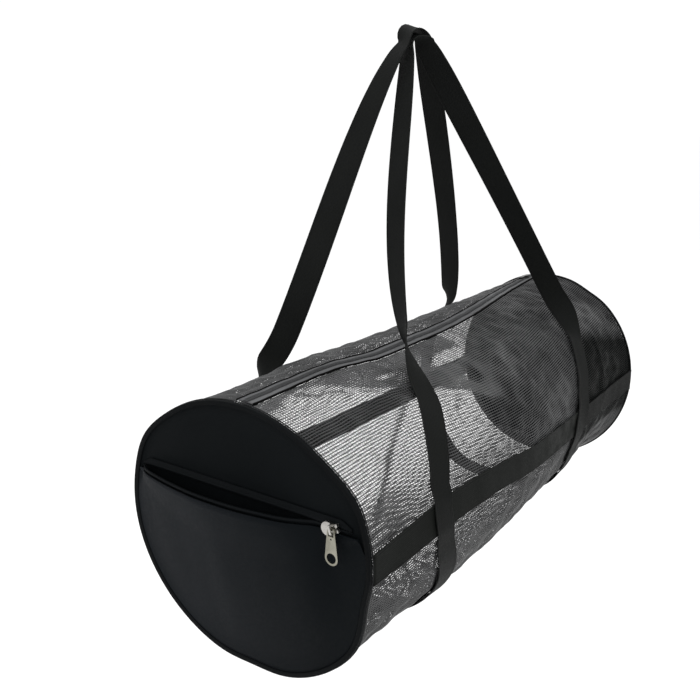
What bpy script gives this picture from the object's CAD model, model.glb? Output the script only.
import bpy
import math
import numpy as np
from mathutils import Matrix, Vector


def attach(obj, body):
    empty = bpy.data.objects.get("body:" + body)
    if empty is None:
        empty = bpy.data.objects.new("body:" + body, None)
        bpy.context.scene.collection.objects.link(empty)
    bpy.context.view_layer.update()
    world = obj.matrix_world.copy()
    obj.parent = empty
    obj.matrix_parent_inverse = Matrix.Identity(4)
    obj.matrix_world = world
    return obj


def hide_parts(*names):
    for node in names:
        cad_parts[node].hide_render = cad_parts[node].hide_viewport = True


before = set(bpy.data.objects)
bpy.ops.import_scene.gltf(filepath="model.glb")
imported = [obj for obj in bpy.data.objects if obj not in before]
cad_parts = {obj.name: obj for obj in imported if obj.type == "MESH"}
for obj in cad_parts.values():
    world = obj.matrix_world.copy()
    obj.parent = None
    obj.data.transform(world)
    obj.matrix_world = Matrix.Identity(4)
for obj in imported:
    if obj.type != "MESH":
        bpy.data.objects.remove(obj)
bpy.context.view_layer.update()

# Metres in a millimetre
MM = 0.001

# Sizes of the part, in millimetres
LENGTH = 734
RADIUS = 150
GRIP_HEIGHT = 497
GRIP_ALONG = -14.5
GRIP_BACK = 24
WEB_WIDTH = 32
WEB_THICK = 1.6
SECTION_LEAN = 3.1
ZIP_TAPE = 10
ZIP_COIL = 5
GAP = 0.5
CLOTH = 1.4
RIM_SIDE = 9
POCKET_ZIP_HEIGHT = 54
POCKET_GAPE = 22
LIP_DROP = 0.03
NEAR = -LENGTH / 2
FAR = LENGTH / 2
BAND_LIFT = 0.6
BAND_START = 3.2
BAND_SLACK = 0.15

# Millimetres in a degree round the barrel
ARC = math.radians(RADIUS)

# Sizes of the netting, in millimetres: pitches, and half widths of its strands
HOOP_PITCH = 4.0
THREAD_PITCH = 3.1
THREAD = 0.55
HOOP = 0.38
NET_DEPTH = -0.9

# Camera, in metres and radians in the part's frame, and its lens in millimetres
CAMERA_PLACE = (-0.9002, -0.5403, -0.0783)
YAW = 0.954
PITCH = math.radians(16.3)
ROLL = math.radians(-0.67)
LENS = 43.02
FLOOR_HEIGHT = -1.25
FLOOR_HALF = 30.0

# Barrel cross-sections, as shares of the length and of RADIUS
SECTIONS = dict(
    along=[0, 0.12, 0.27, 0.42, 0.6, 0.78, 0.88, 1],
    half_y=[1.042, 1.03, 1.02, 1.01, 0.997, 0.983, 0.976, 0.967],
    half_z=[0.961, 0.968, 0.977, 0.985, 0.997, 1.007, 1.013, 1.019],
    shift_y=[0.04, 0.031, 0.02, 0.009, -0.005, -0.019, -0.027, -0.035],
    shift_z=[0.021, 0.017, 0.012, 0.006, -0.001, -0.008, -0.011, -0.015],
    belly=[0, 0.015, 0.05, 0.05, 0.015, -0.025, -0.07, 0],
)
BELLY_DEG = 222
BELLY_SPAN = 34

# Swells and dents: along, degrees round, rise as a share of RADIUS, reach along, reach round
SWELLS = [
    (0, 148, 0.04, 0.07, 13),
    (0, 190, -0.047, 0.07, 14),
    (0, 268, -0.027, 0.06, 12),
    (0, 34, 0.024, 0.06, 14),
    (0.16, 140, -0.02, 0.07, 16),
    (0.3, 97, -0.034, 0.07, 15),
    (0.24, 66, 0.024, 0.06, 15),
    (0.52, 74, -0.018, 0.08, 14),
    (0.5, 128, 0.02, 0.1, 14),
    (0.62, 150, -0.024, 0.09, 18),
    (0.77, 118, 0.02, 0.06, 14),
    (0.95, 118, -0.04, 0.05, 9),
    (0.4, 20, -0.02, 0.1, 20),
    (0.7, 330, 0.02, 0.1, 18),
]

# Folds of the netting: from and to (along, degrees), width and height in millimetres
FOLDS = [
    (0.05, 101, 0.2, 118, 7, 2.5),
    (0.28, 131, 0.4, 142, 7, 3.0),
    (0.38, 142, 0.56, 164, 7, 2.5),
    (0.23, 126, 0.03, 156, 3, -2.5),
    (0.37, 153, 0.48, 168, 4, -2.5),
    (0.36, 112, 0.42, 126, 5, -3.0),
    (0.96, 134, 0.985, 142, 5, -5.0),
    (0.86, 142, 0.83, 176, 5, 2.5),
]

# Small wrinkles all over the netting: length of the wave in millimetres, direction, phase, depth
WRINKLES = [
    (46, 0.4, 0.7, 0.55),
    (38, 1.3, 2.1, 0.5),
    (31, 2.2, 4.0, 0.4),
    (25, 2.9, 1.2, 0.35),
    (21, 0.9, 5.3, 0.25),
    (17, 1.8, 3.3, 0.2),
]

# Where the netting bunches and looks closer: along, degrees, reach in millimetres both ways, share
BUNCHES = [
    (0.5, 122, 40, 60, 1.0),
    (0.3, 87, 36, 7, -2),
    (0.13, 79, 32, 9, -2),
    (0.555, 80, 26, 7, -2),
    (0.58, 132, 50, 70, 0.8),
    (0.7, 118, 70, 60, 0.6),
    (0.25, 72, 150, 26, 0.7),
    (0.62, 72, 140, 30, 0.7),
    (0.05, 161, 50, 27, 1.4),
    (0.64, 166, 56, 34, 1.3),
    (0.85, 130, 90, 26, 1.0),
    (0.55, 176, 60, 22, 0.6),
    (0.3, 205, 260, 30, 0.6),
    (0.72, 172, 50, 40, 1.0),
    (0.86, 168, 70, 46, 1.6),
    (0.5, 5, 450, 110, -0.65),
    (0.5, 325, 450, 50, -0.4),
]

# Lower edge, in degrees, of the netting that hangs slack and doubled below the zip
RIDGE = dict(
    along=[0, 0.03, 0.06, 0.12, 0.155, 0.195, 0.25, 0.31, 0.345, 0.37, 0.395, 0.45],
    deg=[104, 103, 99, 98, 105, 113, 120, 127, 132, 136, 141, 146],
)
# Single places in it: along, degrees, half length and half width in millimetres
WINDOWS = [
    (0.4, 115.5, 36, 10),
    (0.405, 129.5, 13, 12),
    (0.32, 111, 9, 5),
    (0.245, 110, 16, 4),
]

# Sharp creases of the netting: from and to (along, degrees), half width in millimetres, share
CREASES = [
    (0.23, 124, 0.1, 144, 2.4, 2.2),
    (0.13, 139, 0.03, 158, 3.6, 1.8),
    (0.345, 131, 0.31, 139, 1.5, 2.2),
    (0.375, 153, 0.48, 168, 1.8, 1.8),
    (0.965, 134, 0.98, 142, 4.0, 2.0),
]

ZIP_LINE = dict(along=[0, 0.18, 0.3, 0.45, 0.6, 0.82, 1], deg=[91.5, 91, 94, 97, 94.5, 86, 80])
FRONT_BAND = dict(along=[0, 0.2, 0.35, 0.5, 1], deg=[173.5, 172.5, 175, 179.5, 180])
BACK_BAND = dict(along=[0, 0.5, 1], deg=[352.5, 350.5, 351.5])
MOUTH = dict(
    side=[-0.93, -0.63, -0.57, -0.5, -0.39, -0.2, 0, 0.3, 0.52, 0.71, 0.88, 0.95],
    gape=[0, 0, 0.07, 0.28, 0.56, 0.8, 0.96, 1, 0.86, 0.65, 0.36, 0],
)


# Places and forms on the barrel's skin

def hermite(t, start, leaving, end, arriving):
    """Smooth way from start to end, with the slopes that it leaves and arrives by."""
    t2 = t * t
    t3 = t2 * t
    return (
        (2 * t3 - 3 * t2 + 1) * start
        + (t3 - 2 * t2 + t) * leaving
        + (3 * t2 - 2 * t3) * end
        + (t3 - t2) * arriving
    )


def read(table, key, at, column):
    """Smooth reading of a table's column at places along its key."""
    xs = np.array(table[key], float)
    ys = np.array(table[column], float)
    x = np.clip(at, xs[0], xs[-1])
    i = np.searchsorted(xs[1:-1], x, side="left")
    before = np.maximum(i - 1, 0)
    after = np.minimum(i + 2, len(xs) - 1)
    span = xs[i + 1] - xs[i]
    leaving = (ys[i + 1] - ys[before]) / (xs[i + 1] - xs[before]) * span
    arriving = (ys[after] - ys[i]) / (xs[after] - xs[i]) * span
    return hermite((x - xs[i]) / span, ys[i], leaving, ys[i + 1], arriving)


def line_deg(line, along):
    """Degrees round the skin of a line that runs along the barrel."""
    return read(line, "along", along, "deg")


def apart(a, b):
    """Signed difference of two angles, in degrees."""
    return (a - b + 180) % 360 - 180


def soft_step(x):
    """From 0 to 1 as x does, level at both ends."""
    x = np.clip(x, 0, 1)
    return x * x * (3 - 2 * x)


def ridge(along, deg, line):
    """Height from 0 to 1 of a rounded ridge along a line on the skin."""
    a0, d0, a1, d1, width = line
    px = (along - a0) * LENGTH
    py = apart(deg, d0) * ARC
    vx = (a1 - a0) * LENGTH
    vy = (d1 - d0) * ARC
    t = (px * vx + py * vy) / (vx * vx + vy * vy)
    off = (px * vy - py * vx) / math.hypot(vx, vy)
    ends = np.clip(t / 0.25 + 0.5, 0, 1) * np.clip((1 - t) / 0.25 + 0.5, 0, 1)
    return np.exp(-(off / width) ** 2) * ends * ends * (3 - 2 * ends)


def wrinkle(along, deg):
    """Shallow waves, from -2.3 to 0.1 millimetres, that fade at both rims and at the zip."""
    x = along * LENGTH
    y = np.radians(deg) * RADIUS
    drift = 1.3 * np.sin(x * 0.02 + y * 0.013)
    rise = np.zeros(np.broadcast(along, deg).shape)
    for length, direction, phase, depth in WRINKLES:
        way = x * math.cos(direction) + y * math.sin(direction)
        rise = rise + depth * np.sin(way * 2 * math.pi / length + phase + drift)
    fade = np.clip(along / 0.04, 0, 1) * np.clip((1 - along) / 0.04, 0, 1)
    from_zip = np.abs(apart(deg, line_deg(ZIP_LINE, along)))
    fade = fade * (0.3 + 0.7 * soft_step(from_zip / 9 - 0.4))
    return fade * (np.clip(rise, -1.2, 1.2) - 1.1)


def relief(along, deg, slack):
    """Folds of the soft skin, in millimetres, with a share of its small wrinkles."""
    rise = slack * wrinkle(along, deg)
    for a0, d0, a1, d1, width, height in FOLDS:
        rise = rise + height * ridge(along, deg, (a0, d0, a1, d1, width))
    return rise


def away(along, deg, at, turn, reach, spread):
    """Squared distance from a place on the skin, counted in its reach along and its spread round."""
    return ((along - at) * LENGTH / reach) ** 2 + (apart(deg, turn) * ARC / spread) ** 2


def hanging_slack(along, deg):
    """From 0 to 1 in the slack, doubled netting below the zip, apart from the single places in it."""
    slack = soft_step((line_deg(RIDGE, along) - deg + 0.6) / 1.4)
    slack = slack * soft_step((deg - line_deg(ZIP_LINE, along)) / 3)
    slack = slack * soft_step((0.47 - along) / 0.04)
    for place in WINDOWS:
        slack = slack * soft_step(away(along, deg, *place) - 0.7)
    return slack


def bunching(along, deg):
    """How much thicker the netting's strands look, as a share."""
    share = np.zeros(np.broadcast(along, deg).shape)
    for at, turn, reach, spread, amount in BUNCHES:
        share = share + amount * np.exp(-away(along, deg, at, turn, reach, spread) ** 2)
    blotch = 0.4 - 0.45 * wrinkle(along + 0.013, deg * 1.31 + 40)
    share = np.clip(share, 0, 1.3) * blotch + np.clip(share, -0.65, 0)
    slack = hanging_slack(along, deg)
    under = soft_step((deg - 182) / 8) * soft_step((310 - deg) / 30)
    share = share + (2.4 * slack + 1.2 * under) * (0.6 + 0.4 * blotch)
    for a0, d0, a1, d1, width, amount in CREASES:
        share = share + amount * ridge(along, deg, (a0, d0, a1, d1, width))
    return np.clip(share, -0.65, 2.4)


def skin(along, deg, lift=0.0, slack=1.0):
    """Points of the barrel's skin in the part's frame, in millimetres."""
    along, deg = np.broadcast_arrays(np.asarray(along, float), np.asarray(deg, float))
    a = np.radians(deg - SECTION_LEAN)
    swell = np.ones(a.shape)
    for at, turn, rise, reach, spread in SWELLS:
        swell = swell + rise * np.exp(-((along - at) / reach) ** 2 - (apart(deg, turn) / spread) ** 2)
    low = apart(deg, BELLY_DEG) / BELLY_SPAN
    swell = swell + read(SECTIONS, "along", along, "belly") * np.exp(-low * low)
    up = lift + relief(along, deg, slack)
    y = (read(SECTIONS, "along", along, "half_y") * RADIUS * swell + up) * np.cos(a)
    z = (read(SECTIONS, "along", along, "half_z") * RADIUS * swell + up) * np.sin(a)
    c = math.cos(math.radians(SECTION_LEAN))
    s = math.sin(math.radians(SECTION_LEAN))
    return np.stack([
        NEAR + along * LENGTH - GRIP_ALONG,
        read(SECTIONS, "along", along, "shift_y") * RADIUS + c * y - s * z - GRIP_BACK,
        read(SECTIONS, "along", along, "shift_z") * RADIUS + s * y + c * z - GRIP_HEIGHT,
    ], axis=-1)


def turn_of(mm):
    """Degrees round the barrel that take up a length in millimetres."""
    return math.degrees(mm / RADIUS)


# Making of meshes

def placed(name, data):
    """A new object of the scene."""
    thing = bpy.data.objects.new(name, data)
    bpy.context.scene.collection.objects.link(thing)
    return thing


def mesh_piece(name, points, faces, material, uv=None):
    """A smooth piece of the bag from points in millimetres and faces, with one material."""
    mesh = bpy.data.meshes.new(name)
    mesh.from_pydata((np.asarray(points) * MM).tolist(), [], faces)
    mesh.materials.append(material)
    if uv is not None:
        layer = mesh.uv_layers.new(name="UVMap")
        loops = np.zeros(len(mesh.loops), int)
        mesh.loops.foreach_get("vertex_index", loops)
        layer.data.foreach_set("uv", np.asarray(uv, float)[loops].ravel())
    mesh.polygons.foreach_set("use_smooth", [True] * len(mesh.polygons))
    mesh.update()
    piece = placed(name, mesh)
    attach(piece, "bag")
    return piece


def grid_faces(rows, columns, around=False):
    """Quads of a grid of points, row by row."""
    steps = columns if around else columns - 1
    i, j = np.meshgrid(np.arange(rows - 1), np.arange(steps), indexing="ij")
    k = (j + 1) % columns
    here = i * columns
    ahead = here + columns
    quads = np.stack([here + j, here + k, ahead + k, ahead + j], -1)
    return quads.reshape(-1, 4).tolist()


def closed_faces(rings, count):
    """Faces of a bar from its rings of count points, with a cap at each end."""
    last = (rings - 1) * count
    faces = grid_faces(rings, count, around=True)
    faces.append(list(range(count))[::-1])
    faces.append([last + i for i in range(count)])
    return faces


def wall_faces(size, faces):
    """Faces of both sides of a wall, from those of the outer one and its count of points."""
    return faces + [[corner + size for corner in face[::-1]] for face in faces]


def grid_uv(u, v):
    """A grid's UV, in metres, from its u and its v, in millimetres."""
    return np.stack(np.broadcast_arrays(u * MM, v * MM), -1).reshape(-1, 2)


def tubes(paths, across, out, radii, sides=4):
    """Tubes along many paths of one length: paths, across and out are (tubes, stops, 3)."""
    turns = np.arange(sides) * 2 * math.pi / sides
    wide, deep = (np.broadcast_to(r, paths.shape[:2])[:, :, None, None] for r in radii)
    ring = (
        across[:, :, None] * np.cos(turns)[None, None, :, None] * wide
        + out[:, :, None] * np.sin(turns)[None, None, :, None] * deep
    )
    points = paths[:, :, None] + ring
    tubes_made, stops = paths.shape[:2]
    one = np.array(grid_faces(stops, sides, around=True))
    faces = (one[None] + (np.arange(tubes_made) * stops * sides)[:, None, None]).reshape(-1, 4)
    return points.reshape(-1, 3), faces.tolist()


def unit(v):
    """Vectors scaled to a length of one."""
    return v / np.maximum(np.linalg.norm(v, axis=-1, keepdims=True), 1e-9)


def welded(mesh):
    """A mesh's corners in millimetres, and for each the set of corners that an edge joins to it."""
    points = []
    index = {}
    weld = []
    for v in mesh.vertices:
        key = tuple(round(c * 1e6) for c in v.co)
        if key not in index:
            index[key] = len(points)
            points.append([c / MM for c in v.co])
        weld.append(index[key])
    near = [set() for _ in points]
    for edge in mesh.edges:
        a, b = (weld[i] for i in edge.vertices)
        near[a].add(b)
        near[b].add(a)
    return np.array(points), near


def layers(near, start):
    """Rows of corners, each one edge further from the start than the last."""
    seen = set(start)
    rows = [sorted(start)]
    while True:
        row = {b for a in rows[-1] for b in near[a]} - seen
        if not row:
            return rows
        seen |= row
        rows.append(sorted(row))


def matched(ring, row):
    """The points of a row in the order of the ring's own, the closest pairs first."""
    pairs = sorted((np.linalg.norm(b - a), i, j) for i, a in enumerate(ring) for j, b in enumerate(row))
    found = {}
    for _, i, j in pairs:
        if i not in found and j not in found.values():
            found[i] = j
    return row[[found[i] for i in range(len(ring))]]


def strip_rings(node):
    """The CAD strap's rings of four corners, from one end to the other, in millimetres."""
    points, near = welded(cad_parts[node].data)
    tip = layers(near, [0])[-1][0]
    reach = np.linalg.norm(points - points[tip], axis=1)
    thin = reach < 2 * WEB_THICK
    wide = np.abs(reach - WEB_WIDTH) < WEB_THICK / 2
    beside = sorted(np.flatnonzero(thin), key=lambda i: reach[i])[1]
    across, corner = sorted(np.flatnonzero(wide), key=lambda i: reach[i])
    rings = [points[[tip, across, corner, beside]]]
    for row in layers(near, [tip, beside, across, corner])[1:]:
        rings.append(matched(rings[-1], points[row]))
    return np.array(rings)


def smooth_path(rows, step):
    """Rows of values resampled evenly by arc length of their first three columns."""
    gaps = np.linalg.norm(np.diff(rows[:, :3], axis=0), axis=1)
    at = np.concatenate([[0], np.cumsum(gaps)])
    stops = np.linspace(0, at[-1], max(2, int(at[-1] / step)) + 1)
    i = np.clip(np.searchsorted(at, stops, side="right") - 1, 0, len(at) - 2)
    slope = np.gradient(rows, at, axis=0)
    span = (at[i + 1] - at[i])[:, None]
    t = (stops - at[i])[:, None] / span
    return hermite(t, rows[i], span * slope[i], rows[i + 1], span * slope[i + 1]), stops


# Upper outline of webbing across its width: share of half the width, share of half the thickness
WEB_EDGE = [
    (-1, 0), (-0.985, 0.7), (-0.95, 1), (-0.88, 0.82), (-0.5, 0.8),
    (0, 0.8), (0.5, 0.8), (0.88, 0.82), (0.95, 1), (0.985, 0.7),
]
WEB_SECTION = WEB_EDGE + [(-x, -y) for x, y in WEB_EDGE]


def ribbon(name, node, centre, across, out, along, material):
    """Webbing along a path, with a beaded edge, closed at both ends, in place of a node."""
    u = np.array([p[0] for p in WEB_SECTION]) * WEB_WIDTH / 2
    v = np.array([p[1] for p in WEB_SECTION]) * WEB_THICK / 2
    points = centre[:, None] + across[:, None] * u[None, :, None] + out[:, None] * v[None, :, None]
    faces = closed_faces(len(centre), len(WEB_SECTION))
    uv = grid_uv(u[None], along[:, None])
    piece = mesh_piece(name, points.reshape(-1, 3), faces, material, uv)
    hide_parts(node)


# Materials

class Nodes:
    """A material's node tree, built up with short calls."""

    def __init__(self, name):
        self.material = bpy.data.materials.new(name)
        self.material.use_nodes = True
        self.tree = self.material.node_tree
        self.shader = self.tree.nodes["Principled BSDF"]

    def add(self, kind, inputs=None, **settings):
        node = self.tree.nodes.new(kind)
        for key, value in settings.items():
            setattr(node, key, value)
        for key, value in (inputs or {}).items():
            self.put(node.inputs[key], value)
        return node

    def put(self, socket, value):
        if isinstance(value, bpy.types.NodeSocket):
            self.tree.links.new(value, socket)
        else:
            socket.default_value = value

    def math(self, operation, a, b=0.0, c=0.0):
        node = self.add("ShaderNodeMath", operation=operation)
        for i, value in enumerate((a, b, c)):
            self.put(node.inputs[i], value)
        return node.outputs[0]

    def mix(self, amount, a, b):
        node = self.add("ShaderNodeMix", data_type="RGBA")
        self.put(node.inputs[0], amount)
        self.put(node.inputs[6], a)
        self.put(node.inputs[7], b)
        return node.outputs[2]

    def noise(self, vector, scale, detail=2.0, rough=0.5):
        settings = {"Vector": vector, "Scale": scale, "Detail": detail, "Roughness": rough}
        return self.add("ShaderNodeTexNoise", settings).outputs["Fac"]

    def wave(self, vector, axis, period):
        """Sine from 0 to 1 along one axis, with its period in metres."""
        turns = self.math("MULTIPLY", self.split(vector)[axis], 2 * math.pi / period)
        return self.math("MULTIPLY_ADD", self.math("SINE", turns), 0.5, 0.5)

    def ramp(self, value, low, high, start=0.0, end=1.0):
        """The value's way from low to high, held at both ends, as a way from start to end."""
        settings = {"Value": value, "From Min": low, "From Max": high, "To Min": start, "To Max": end}
        return self.add("ShaderNodeMapRange", settings).outputs[0]

    def bump(self, height, distance, strength):
        settings = {"Height": height, "Distance": distance, "Strength": strength}
        self.put(self.shader.inputs["Normal"], self.add("ShaderNodeBump", settings).outputs[0])

    def coordinates(self, kind):
        return self.add("ShaderNodeTexCoord").outputs[kind]

    def surface(self, colour, rough, specular=0.5, metallic=0.0):
        self.put(self.shader.inputs["Base Color"], colour)
        self.put(self.shader.inputs["Roughness"], rough)
        self.put(self.shader.inputs["Specular IOR Level"], specular)
        self.put(self.shader.inputs["Metallic"], metallic)

    def split(self, vector):
        """A vector's three parts."""
        return self.add("ShaderNodeSeparateXYZ", {"Vector": vector}).outputs


def grey(r, g=None, b=None):
    """A colour from one linear tone, or from three."""
    return (r, r if g is None else g, r if b is None else b, 1.0)


def far_shade(n, place):
    """From 0 to 1 where the netting lies doubled and dark near the far rim, on the front."""
    x, y, z = place
    high = n.math("MAXIMUM", n.math("ADD", z, 0.466), 0.0)
    shade = n.ramp(n.math("MULTIPLY_ADD", high, -1.2, x), 0.155, 0.175)
    slant = n.math("MULTIPLY_ADD", x, 0.2, z)
    shade = n.math("MULTIPLY", shade, n.ramp(slant, -0.343, -0.361))
    shade = n.math("MULTIPLY", shade, n.ramp(z, -0.552, -0.54))
    return n.math("MULTIPLY", shade, n.ramp(y, -0.08, -0.11))


def thread_material():
    """Satin strands in cloudy greys, darker low down and at the far rim."""
    n = Nodes("net_thread")
    at = n.coordinates("Object")
    place = n.split(at)
    blotch = n.ramp(n.noise(at, 18.0, 3.0), 0.35, 0.65)
    fine = n.noise(at, 900.0, 1.0)
    colour = n.mix(blotch, grey(0.032, 0.0325, 0.0335), grey(0.064, 0.065, 0.066))
    low = n.ramp(place[2], -0.46, -0.57, 0.0, 0.6)
    colour = n.mix(low, colour, grey(0.004, 0.0042, 0.0042))
    shade = far_shade(n, place)
    colour = n.mix(shade, colour, grey(0.0065, 0.0072, 0.0068))
    gloss = n.math("MULTIPLY_ADD", shade, -0.25, 0.3)
    n.surface(colour, n.ramp(fine, 0.3, 0.7, 0.35, 0.5), specular=gloss)
    return n.material


def cloth_material(name, dark, light, weave, rough, shadow=None):
    """Plain weave: threads both ways, faint cloudy wear, and a shadow towards the front side."""
    n = Nodes(name)
    uv = n.coordinates("UV")
    at = n.coordinates("Object")
    warp = n.wave(uv, 0, weave)
    weft = n.wave(uv, 1, weave)
    crossing = n.math("ABSOLUTE", n.math("SUBTRACT", warp, weft))
    cloud = n.noise(at, 9.0, 4.0)
    slub = n.noise(at, 350.0, 2.0)
    tone = n.math("ADD", n.math("MULTIPLY", cloud, 0.6), n.math("MULTIPLY", slub, 0.4))
    colour = n.mix(n.ramp(tone, 0.3, 0.7), dark, light)
    if shadow:
        colour = n.mix(n.ramp(n.split(at)[1], -0.12, 0.05, 1.0, 0.0), colour, shadow)
    n.surface(colour, n.ramp(slub, 0.3, 0.7, rough - 0.06, rough + 0.08), specular=0.03)
    height = n.math("ADD", crossing, n.math("MULTIPLY", cloud, 3.0))
    n.bump(height, 0.00018, 0.6)
    return n.material


def webbing_material(name, dark, light, under_net=False):
    """Ribbed webbing with a beaded edge and a stitch line along each side, veiled where it is under net."""
    n = Nodes(name)
    uv = n.coordinates("UV")
    at = n.coordinates("Object")
    side = n.math("ABSOLUTE", n.split(uv)[0])
    half = WEB_WIDTH / 2 * MM
    rib = n.wave(uv, 1, 0.0016)
    warp = n.wave(uv, 0, 0.0021)
    groove = n.ramp(n.math("ABSOLUTE", n.math("SUBTRACT", side, half * 0.86)), 0.0, 0.0009, 1.0, 0.0)
    edge = n.ramp(side, half * 0.9, half * 0.96)
    cloud = n.noise(at, 12.0, 3.0)
    slub = n.noise(at, 500.0, 2.0)
    tone = n.math("ADD", n.math("MULTIPLY", cloud, 0.5), n.math("MULTIPLY", slub, 0.5))
    colour = n.mix(n.ramp(tone, 0.3, 0.7), dark, light)
    colour = n.mix(n.math("MULTIPLY", groove, 0.55), colour, grey(0.004))
    colour = n.mix(n.math("MULTIPLY", edge, 0.25), colour, tuple(2 * c for c in light[:3]) + (1.0,))
    if under_net:
        place = n.split(at)
        veil = n.math("MULTIPLY", n.ramp(place[0], -0.02, 0.08), n.ramp(place[0], 0.17, 0.14))
        veil = n.math("MULTIPLY", veil, n.ramp(n.noise(at, 55.0, 3.0), 0.38, 0.6))
        colour = n.mix(n.math("MULTIPLY", veil, 0.6), colour, grey(0.024, 0.025, 0.024))
        colour = n.mix(far_shade(n, place), colour, grey(0.0026, 0.003, 0.0027))
    n.surface(colour, n.ramp(slub, 0.3, 0.7, 0.5, 0.65), specular=0.03)
    height = n.math("MULTIPLY_ADD", rib, 0.5, n.math("MULTIPLY", warp, 0.5))
    height = n.math("SUBTRACT", height, n.math("MULTIPLY", groove, 1.5))
    n.bump(height, 0.00025, 0.7)
    return n.material


def metal_material(name, dark, light):
    """Cast metal, scuffed and faintly cloudy."""
    n = Nodes(name)
    at = n.coordinates("Object")
    scuff = n.noise(at, 420.0, 4.0, 0.7)
    cloud = n.noise(at, 60.0, 2.0)
    colour = n.mix(n.ramp(cloud, 0.3, 0.7), dark, light)
    n.surface(colour, n.ramp(scuff, 0.3, 0.75, 0.2, 0.42), metallic=1.0)
    n.bump(scuff, 0.00008, 0.4)
    return n.material


# Each material from a dark and a light tone. Cloths also have the pitch of their weave and roughness
NET = thread_material()
PANEL = cloth_material(
    "panel_cloth", grey(0.0025, 0.0033, 0.0038), grey(0.0045, 0.0055, 0.0062), weave=0.0011, rough=0.62)
POCKET = cloth_material(
    "pocket_cloth", grey(0.0062, 0.0075, 0.0092), grey(0.0105, 0.012, 0.0142), weave=0.0011, rough=0.5,
    shadow=grey(0.0024, 0.0034, 0.0042))
BINDING = cloth_material(
    "binding_cloth", grey(0.0025, 0.003, 0.0033), grey(0.0048, 0.0055, 0.006), weave=0.0009, rough=0.6)
WEBBING = webbing_material(
    "strap_webbing", grey(0.0046, 0.0051, 0.0048), grey(0.0084, 0.009, 0.0086))
BAND = webbing_material(
    "band_webbing", grey(0.0042, 0.0048, 0.0042), grey(0.0078, 0.0086, 0.0078), under_net=True)
TAPE = cloth_material(
    "zip_tape", grey(0.07, 0.0715, 0.074), grey(0.125, 0.127, 0.13), weave=0.0008, rough=0.55)
POCKET_EDGE = cloth_material(
    "pocket_edge", grey(0.0026, 0.0033, 0.0038), grey(0.0048, 0.0057, 0.0064), weave=0.0008, rough=0.5)
COIL = cloth_material(
    "zip_coil", grey(0.045, 0.046, 0.047), grey(0.08, 0.082, 0.084), weave=0.0008, rough=0.4)
SEAM = cloth_material(
    "seam_cord", grey(0.001), grey(0.003), weave=0.0008, rough=0.6)
CORD = cloth_material(
    "rim_cord", grey(0.014, 0.0145, 0.015), grey(0.028, 0.029, 0.03), weave=0.0008, rough=0.5)
METAL = metal_material("zip_metal", grey(0.36, 0.35, 0.33), grey(0.5, 0.49, 0.46))
PULL_METAL = metal_material("pull_metal", grey(0.2, 0.193, 0.155), grey(0.3, 0.29, 0.24))
DARK_METAL = metal_material("dark_metal", grey(0.012), grey(0.02))


# Netting: hoops round the barrel and threads along it, each a fine tube

ZIP_SLOT = turn_of(ZIP_TAPE + 2 * GAP)
THREADS = int(2 * math.pi * RADIUS * (360 - 2 * ZIP_SLOT) / 360 / THREAD_PITCH)
HOOPS = int(LENGTH / HOOP_PITCH)


def net_deg(along, share):
    """Degrees round the skin at a share of the way from one side of the zip to the other."""
    return line_deg(ZIP_LINE, along) + ZIP_SLOT + (360 - 2 * ZIP_SLOT) * share


def middles(count, low, high):
    """The middles of equal steps from 0 to 1, those from low up to high."""
    at = ((np.arange(count) + 0.5) / count)[:, None]
    return at[(at[:, 0] >= low) & (at[:, 0] < high)]


def strands(name, along, share, lengthwise):
    """Many threads or hoops as one mesh, thicker where the netting bunches."""
    along, share = np.broadcast_arrays(along, share)
    deg = net_deg(along, share)
    path = skin(along, deg, NET_DEPTH)
    forward = unit(skin(along + 2e-3, deg, NET_DEPTH) - skin(along - 2e-3, deg, NET_DEPTH))
    around = unit(skin(along, deg + 0.4, NET_DEPTH) - skin(along, deg - 0.4, NET_DEPTH))
    out = unit(np.cross(around, forward))
    share_thicker = bunching(along, deg)
    if lengthwise:
        radii = (THREAD * (1 + 0.75 * share_thicker), THREAD * 0.8)
        points, faces = tubes(path, around, out, radii)
    else:
        radii = (HOOP * (1 + share_thicker), HOOP * 0.9)
        points, faces = tubes(path, forward, out, radii)
    piece = mesh_piece(name, points, faces, NET)
    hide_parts("net_body")


def net():
    along = np.linspace(0, 1, 97)[None]
    strands("net_threads_front", along, middles(THREADS, 0.0, 0.5), True)
    strands("net_threads_back", along, middles(THREADS, 0.5, 1.0), True)
    share = np.linspace(0, 1, 127)[None]
    strands("net_hoops_near", middles(HOOPS, 0.0, 0.5), share, False)
    strands("net_hoops_far", middles(HOOPS, 0.5, 1.0), share, False)


net()


# Cloth ends


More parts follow.
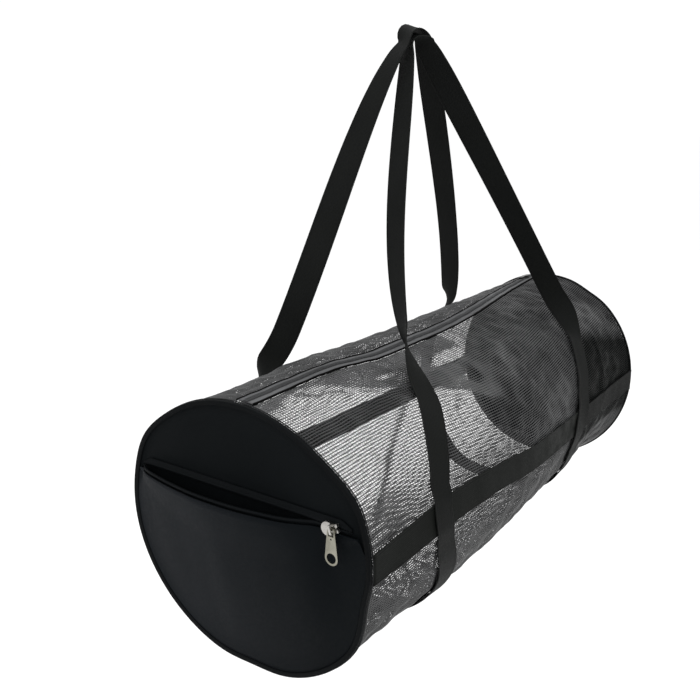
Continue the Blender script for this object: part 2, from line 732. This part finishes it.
def panel(name, node, along, inwards, billow):
    """Round cloth panel, slightly slack, with its wall's thickness."""
    turns = 96
    rows = 14
    deg = np.arange(turns) * 360 / turns
    rim = skin(along, deg, -2 * CLOTH)
    rim[:, 0] = (NEAR if along == 0 else FAR) - GRIP_ALONG
    middle = rim.mean(0)
    reach = np.linspace(1, 0.002, rows)[:, None, None]
    outer = middle + (rim[None] - middle) * reach
    y, z = outer[..., 1], outer[..., 2]
    fade = np.clip((1 - reach[..., 0]) / 0.15, 0, 1)
    wave = np.sin(y * 0.045 + 1.3) * np.cos(z * 0.034 + 0.5)
    wave = wave + 0.5 * np.sin(z * 0.08 + y * 0.02)
    outer[..., 0] += inwards * fade * (0.4 + billow * wave)
    inner = outer + np.array([inwards * CLOTH, 0, 0])
    both = np.concatenate([outer.reshape(-1, 3), inner.reshape(-1, 3)])
    size = rows * turns
    end = size - turns
    faces = wall_faces(size, grid_faces(rows, turns, around=True))
    faces += [[i, (i + 1) % turns, size + (i + 1) % turns, size + i] for i in range(turns)]
    faces.append([end + i for i in range(turns)][::-1])
    faces.append([size + end + i for i in range(turns)])
    piece = mesh_piece(name, both, faces, PANEL, both[:, 1:] * MM)
    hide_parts(node)


panel("near_end_cloth", "near_panel", 0, 1, 0.35)
panel("far_end_cloth", "far_panel", 1, -1, 1.2)


# Bindings round the rims: profiles are (lift from the skin, distance out of the end), in millimetres

NEAR_PROFILE = [
    (-6, 1.5), (-5.8, 2.0), (-4.6, 2.4), (0, 2.4), (0.8, 2.0), (1.1, 1.1),
    (1.0, -2.2), (0.6, -2.8), (0.1, -2.4), (0.1, 1.0), (-0.4, 1.4),
]
FAR_PROFILE = [
    (-6, 1), (-5.8, 1.7), (-4.6, 2.1), (0, 2.1), (0.8, 1.6), (1.1, 0.7),
    (1.0, -2.2), (0.6, -2.8), (0.1, -2.4), (0.1, 0.7), (-0.4, 1),
]


def binding(name, node, along, outwards, profile):
    """Folded binding, whose side on the panel is narrower where the photo shows less of it."""
    turns = 160
    deg = np.arange(turns) * 360 / turns
    narrow = 0.68 + 0.32 * np.cos(np.radians(deg - 330))
    rings = []
    for lift, out in profile:
        lift = lift * narrow - 1.6 * (1 - narrow) if lift < -1 else lift
        reach = min(max(-out, 0), RIM_SIDE) / LENGTH
        ring = skin(reach if along == 0 else 1 - reach, deg, lift)
        ring[:, 0] = (NEAR if along == 0 else FAR) + outwards * out - GRIP_ALONG
        rings.append(ring)
    points = np.stack(rings, 1)
    count = len(profile)
    faces = grid_faces(turns, count, around=True)
    last = (turns - 1) * count
    faces += [[last + j, last + (j + 1) % count, (j + 1) % count, j] for j in range(count)]
    uv = grid_uv((np.radians(deg) * RADIUS)[:, None], np.arange(count)[None] * 1.6)
    piece = mesh_piece(name, points.reshape(-1, 3), faces, BINDING, uv)
    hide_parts(node)


def rim_cord():
    """Rounded edge of the near binding, where it meets the netting."""
    deg = np.linspace(0, 360, 161)[None]
    place = (BAND_START + 0.2) / LENGTH
    path = skin(place, deg, 1.3)
    along = np.broadcast_to(np.array([1.0, 0, 0]), path.shape)
    out = unit(skin(place, deg, 2) - skin(place, deg, 0))
    points, faces = tubes(path, along, out, (0.7, 0.7), 8)
    piece = mesh_piece("near_rim_cord", points, faces, CORD)
    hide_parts("near_binding")


binding("near_rim_binding", "near_binding", 0, -1, NEAR_PROFILE)
rim_cord()
binding("far_rim_binding", "far_binding", 1, 1, FAR_PROFILE)


# Lengthwise bands and the handles

def band(name, node, line):
    """Webbing along the barrel, on the skin without its small wrinkles."""
    start = BAND_START / LENGTH
    along = np.linspace(start, 1 - start, 180)
    deg = line_deg(line, along)
    centre = skin(along, deg, BAND_LIFT + WEB_THICK / 2, BAND_SLACK)
    side = turn_of(WEB_WIDTH / 2)
    right = skin(along, deg + side, BAND_LIFT, BAND_SLACK)
    left = skin(along, deg - side, BAND_LIFT, BAND_SLACK)
    across = unit(right - left)
    out = unit(np.cross(across, unit(np.gradient(centre, axis=0))))
    outwards = centre - skin(along, deg, BAND_LIFT - 5)
    out = out * np.sign(np.sum(out * outwards, -1, keepdims=True))
    ribbon(name, node, centre, across, out, along * LENGTH, BAND)


band("front_webbing", "front_band", FRONT_BAND)
band("back_webbing", "back_band", BACK_BAND)


def strap(name, node):
    """A handle's webbing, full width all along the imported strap's middle line."""
    rings = strip_rings(node)
    centre = rings.mean(1)
    across = (rings[:, 1] + rings[:, 2] - rings[:, 0] - rings[:, 3]) / 2
    rows, along = smooth_path(np.concatenate([centre, across], 1), 5.0)
    centre = rows[:, :3]
    across = unit(rows[:, 3:])
    forward = unit(np.gradient(centre, axis=0))
    across = unit(across - forward * np.sum(across * forward, -1, keepdims=True))
    ribbon(name, node, centre, across, np.cross(across, forward), along, WEBBING)


strap("front_handle_webbing", "front_handle")
strap("rear_handle_webbing", "rear_handle")


# Top zip: two tapes, the coil with its teeth, and a dark seam along each tape

# Section of a strip: share of its width, share of its height
STRIP_SECTION = [(0, 0), (0.5, 0), (1, 0), (1, 1), (0.5, 1.15), (0, 1)]
SEAM_HALF = 0.9
TOOTH_PITCH = 1.6
TOOTH_SHARES = [-1, -0.7, 0, 0.7, 1]
TOOTH_LIFTS = [0.1, 0.75, 0.9, 0.75, 0.1]


def zip_strip(name, node, across, heights, material):
    """A strip along the zip: across and heights are from and to, in millimetres."""
    start = (RIM_SIDE + GAP) / LENGTH
    along = np.linspace(start, 1 - start, 180)
    centre = line_deg(ZIP_LINE, along)
    places = [across[0] + (across[1] - across[0]) * a for a, _ in STRIP_SECTION]
    lifts = [heights[0] + (heights[1] - heights[0]) * b for _, b in STRIP_SECTION]
    rings = [skin(along, centre + turn_of(place), lift) for place, lift in zip(places, lifts)]
    points = np.stack(rings, 1)
    faces = closed_faces(len(along), len(STRIP_SECTION))
    uv = grid_uv(np.array(places)[None], (along * LENGTH)[:, None])
    piece = mesh_piece(name, points.reshape(-1, 3), faces, material, uv)
    if node:
        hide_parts(node)


def zip_teeth(name, node):
    """Coil: a row of small loops across the zip."""
    start = (RIM_SIDE + 2) / LENGTH
    count = int(LENGTH * (1 - 2 * start) / TOOTH_PITCH)
    along = (start + (np.arange(count) + 0.5) * TOOTH_PITCH / LENGTH)[:, None]
    deg = line_deg(ZIP_LINE, along) + np.array(TOOTH_SHARES)[None] * turn_of(ZIP_COIL / 2)
    lift = 1.6 + np.array(TOOTH_LIFTS)[None] * 1.2
    foot = skin(along, deg, 0)
    out = unit(skin(along, deg, 1) - foot)
    forward = unit(skin(along + 1e-3, deg, 0) - skin(along - 1e-3, deg, 0))
    points, faces = tubes(foot + out * lift[..., None], forward, out, (0.42, 0.42))
    piece = mesh_piece(name, points, faces, COIL)
    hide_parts(node)


zip_strip("zip_tape_front", "top_zip_tape_front", (0.4, ZIP_TAPE), (-0.2, 0.8), TAPE)
zip_strip("zip_tape_rear", "top_zip_tape_rear", (-0.4, -ZIP_TAPE), (-0.2, 0.8), TAPE)
zip_strip("zip_coil_base", "top_zip_coil", (-ZIP_COIL / 2, ZIP_COIL / 2), (1.2, 1.9), COIL)
zip_teeth("zip_teeth", "top_zip_coil")
for side, name in ((1, "zip_seam_front"), (-1, "zip_seam_rear")):
    across = (side * (ZIP_TAPE - SEAM_HALF), side * (ZIP_TAPE + SEAM_HALF))
    zip_strip(name, None, across, (-0.4, 1.4), SEAM)


# Pocket on the near end

def gape_at(side):
    """How far the pocket's cloth stands off the panel at its mouth."""
    return POCKET_GAPE * np.maximum(0, read(MOUTH, "side", side / RADIUS, "gape"))


def lip(side, below, stand):
    """Points along the mouth's lower edge, or so far below it and off it."""
    gape = gape_at(side)
    return np.stack([NEAR - stand - gape, side, POCKET_ZIP_HEIGHT - LIP_DROP * gape - below], -1)


GRIP = np.array([GRIP_ALONG, GRIP_BACK, GRIP_HEIGHT])


def pocket():
    """The pocket's cloth: rows fall from the mouth to the rim, and columns go across."""
    rows = 26
    columns = 73
    t = np.linspace(0, 1, rows)[:, None]
    c = (1 - np.cos(math.pi * np.linspace(0, 1, columns))) / 2
    side = RADIUS * (0.985 - 1.885 * c)
    rim = skin(0, 12 - 204 * c, -2.9) + GRIP
    top = lip(side, 5.4, 0)
    gape = gape_at(side) * np.clip(1 - t / 0.93, 0, 1) ** 1.2
    edge = np.ones(columns)
    edge[[0, -1]] = 0
    base = 0.1 + 1.9 * np.clip(1 - (t - 0.1) / 0.16, 0, 1) * edge
    y = side + (rim[:, 1] - side) * t
    z = top[:, 2] + (rim[:, 2] - top[:, 2]) * t
    fold = 0.9 * np.sin(y * 0.07 + 0.6) * np.sin(math.pi * np.clip(t, 0, 1)) ** 2
    fold = fold + 1.6 * np.exp(-((y - 28) / 16) ** 2) * np.sin(math.pi * t) ** 2
    stand = NEAR - base - gape - np.maximum(fold, -0.2)
    outer = np.stack([stand - CLOTH, y, z], -1)
    inner = np.stack([stand, y, z], -1)
    both = np.concatenate([outer.reshape(-1, 3), inner.reshape(-1, 3)])
    size = rows * columns
    last = size - columns
    faces = wall_faces(size, grid_faces(rows, columns))
    faces += [[j + 1, j, size + j, size + j + 1] for j in range(columns - 1)]
    faces += [[last + j, last + j + 1, size + last + j + 1, size + last + j] for j in range(columns - 1)]
    piece = mesh_piece("pocket_cloth", both - GRIP, faces, POCKET, both[:, 1:] * MM)
    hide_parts("pocket_panel")


# Section of the pocket's zip: stand off its edge, way up or down from it, in millimetres
POCKET_TAPE_SECTION = [(0, 0), (0, 8), (1, 8), (1, 3), (1.5, 2.6), (2, 1.8), (2, 0.6), (1.4, 0)]


def pocket_tape(name, node, upper):
    """One side of the pocket's zip: the upper on the panel, the lower on the mouth's lip."""
    side = np.linspace(RADIUS * 0.955, -RADIUS * 0.86, 90)
    low = np.clip(np.minimum(side[0] - side, side - side[-1]) / 14 + 0.2, 0.2, 1)
    edge = lip(side, 0 if upper else GAP, GAP)
    if upper:
        edge[:, 0] = NEAR - GAP
        edge[:, 2] = POCKET_ZIP_HEIGHT
    up = 1 if upper else -1
    lean = np.zeros(len(side)) if upper else 0.005 * gape_at(side)
    rings = []
    for off, way in POCKET_TAPE_SECTION:
        x = edge[:, 0] - off + lean * way
        rings.append(np.stack([x, edge[:, 1], edge[:, 2] + up * way * low], -1))
    points = np.stack(rings, 1) - GRIP
    faces = closed_faces(len(side), len(POCKET_TAPE_SECTION))
    uv = grid_uv(side[:, None], np.sum(POCKET_TAPE_SECTION, axis=1)[None])
    piece = mesh_piece(name, points.reshape(-1, 3), faces, POCKET_EDGE, uv)
    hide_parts(node)


pocket()
pocket_tape("pocket_tape_upper", "pocket_zip_upper", True)
pocket_tape("pocket_tape_lower", "pocket_zip_lower", False)


# Metal pieces: the CAD shapes with rounded edges

def rounded(node, name, width, body, material):
    """The node's own mesh with its edges rounded by a width in metres."""
    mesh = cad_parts[node].data.copy()
    mesh.name = name
    mesh.materials.clear()
    mesh.materials.append(material)
    piece = placed(name, mesh)
    weld = piece.modifiers.new("weld", "WELD")
    weld.merge_threshold = 0.00001
    flat = piece.modifiers.new("flat", "DECIMATE")
    flat.decimate_type = "DISSOLVE"
    flat.angle_limit = math.radians(1)
    bevel = piece.modifiers.new("bevel", "BEVEL")
    bevel.width = width
    bevel.segments = 3
    bevel.limit_method = "ANGLE"
    bevel.angle_limit = math.radians(35)
    bevel.harden_normals = True
    for polygon in mesh.polygons:
        polygon.use_smooth = True
    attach(piece, body)
    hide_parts(node)


rounded("pocket_slider", "slider_metal", 0.0004, "bag", METAL)
rounded("pocket_pull", "pull_metal", 0.00035, "pull", PULL_METAL)
rounded("top_zip_slider", "top_slider_metal", 0.0005, "bag", DARK_METAL)


# Floor, light and camera

def floor():
    """A plain pale floor."""
    mesh = bpy.data.meshes.new("floor")
    sides = [(-1, -1), (1, -1), (1, 1), (-1, 1)]
    corners = [(x * FLOOR_HALF, y * FLOOR_HALF, FLOOR_HEIGHT) for x, y in sides]
    mesh.from_pydata(corners, [], [(0, 1, 2, 3)])
    n = Nodes("floor_paper")
    at = n.coordinates("Object")
    speck = n.noise(at, 60.0, 3.0)
    n.surface(n.mix(n.ramp(speck, 0.3, 0.7), grey(0.955), grey(0.975)), 0.85, specular=0.05)
    mesh.materials.append(n.material)
    placed("floor", mesh)


def lamp(name, place, aim, size, power):
    """A round soft light, from a place towards another in metres, its power in watts."""
    data = bpy.data.lights.new(name, "AREA")
    data.shape = "DISK"
    data.size = size
    data.energy = power
    light = placed(name, data)
    light.location = place
    light.rotation_mode = "QUATERNION"
    light.rotation_quaternion = (Vector(aim) - Vector(place)).to_track_quat("-Z", "Y")


def studio_world():
    """Even white light from all round."""
    world = bpy.data.worlds.new("studio")
    world.use_nodes = True
    background = world.node_tree.nodes["Background"]
    background.inputs["Color"].default_value = (1, 1, 1, 1)
    background.inputs["Strength"].default_value = 1.05
    bpy.context.scene.world = world
    bpy.context.scene.view_settings.view_transform = "Standard"


def photo_camera():
    """The camera of the photo: turned by its yaw from +Y, pitched down, then rolled."""
    data = bpy.data.cameras.new("camera")
    data.sensor_width = 36
    data.lens = LENS
    flat = Vector((math.sin(YAW), math.cos(YAW), 0))
    forward = flat * math.cos(PITCH) - Vector((0, 0, math.sin(PITCH)))
    right = Vector((math.cos(YAW), -math.sin(YAW), 0))
    turned = Matrix((right, right.cross(forward), -forward)).transposed()
    rolled = turned @ Matrix.Rotation(ROLL, 3, "Z")
    camera = placed("camera", data)
    camera.matrix_world = Matrix.Translation(CAMERA_PLACE) @ rolled.to_4x4()
    bpy.context.scene.camera = camera


floor()
lamp("key", (-1.2, -1.6, 1.6), (0, 0, -0.3), 1.6, 28)
lamp("top", (0.3, 0.3, 1.8), (0, 0, -0.4), 1.6, 18)
studio_world()
photo_camera()
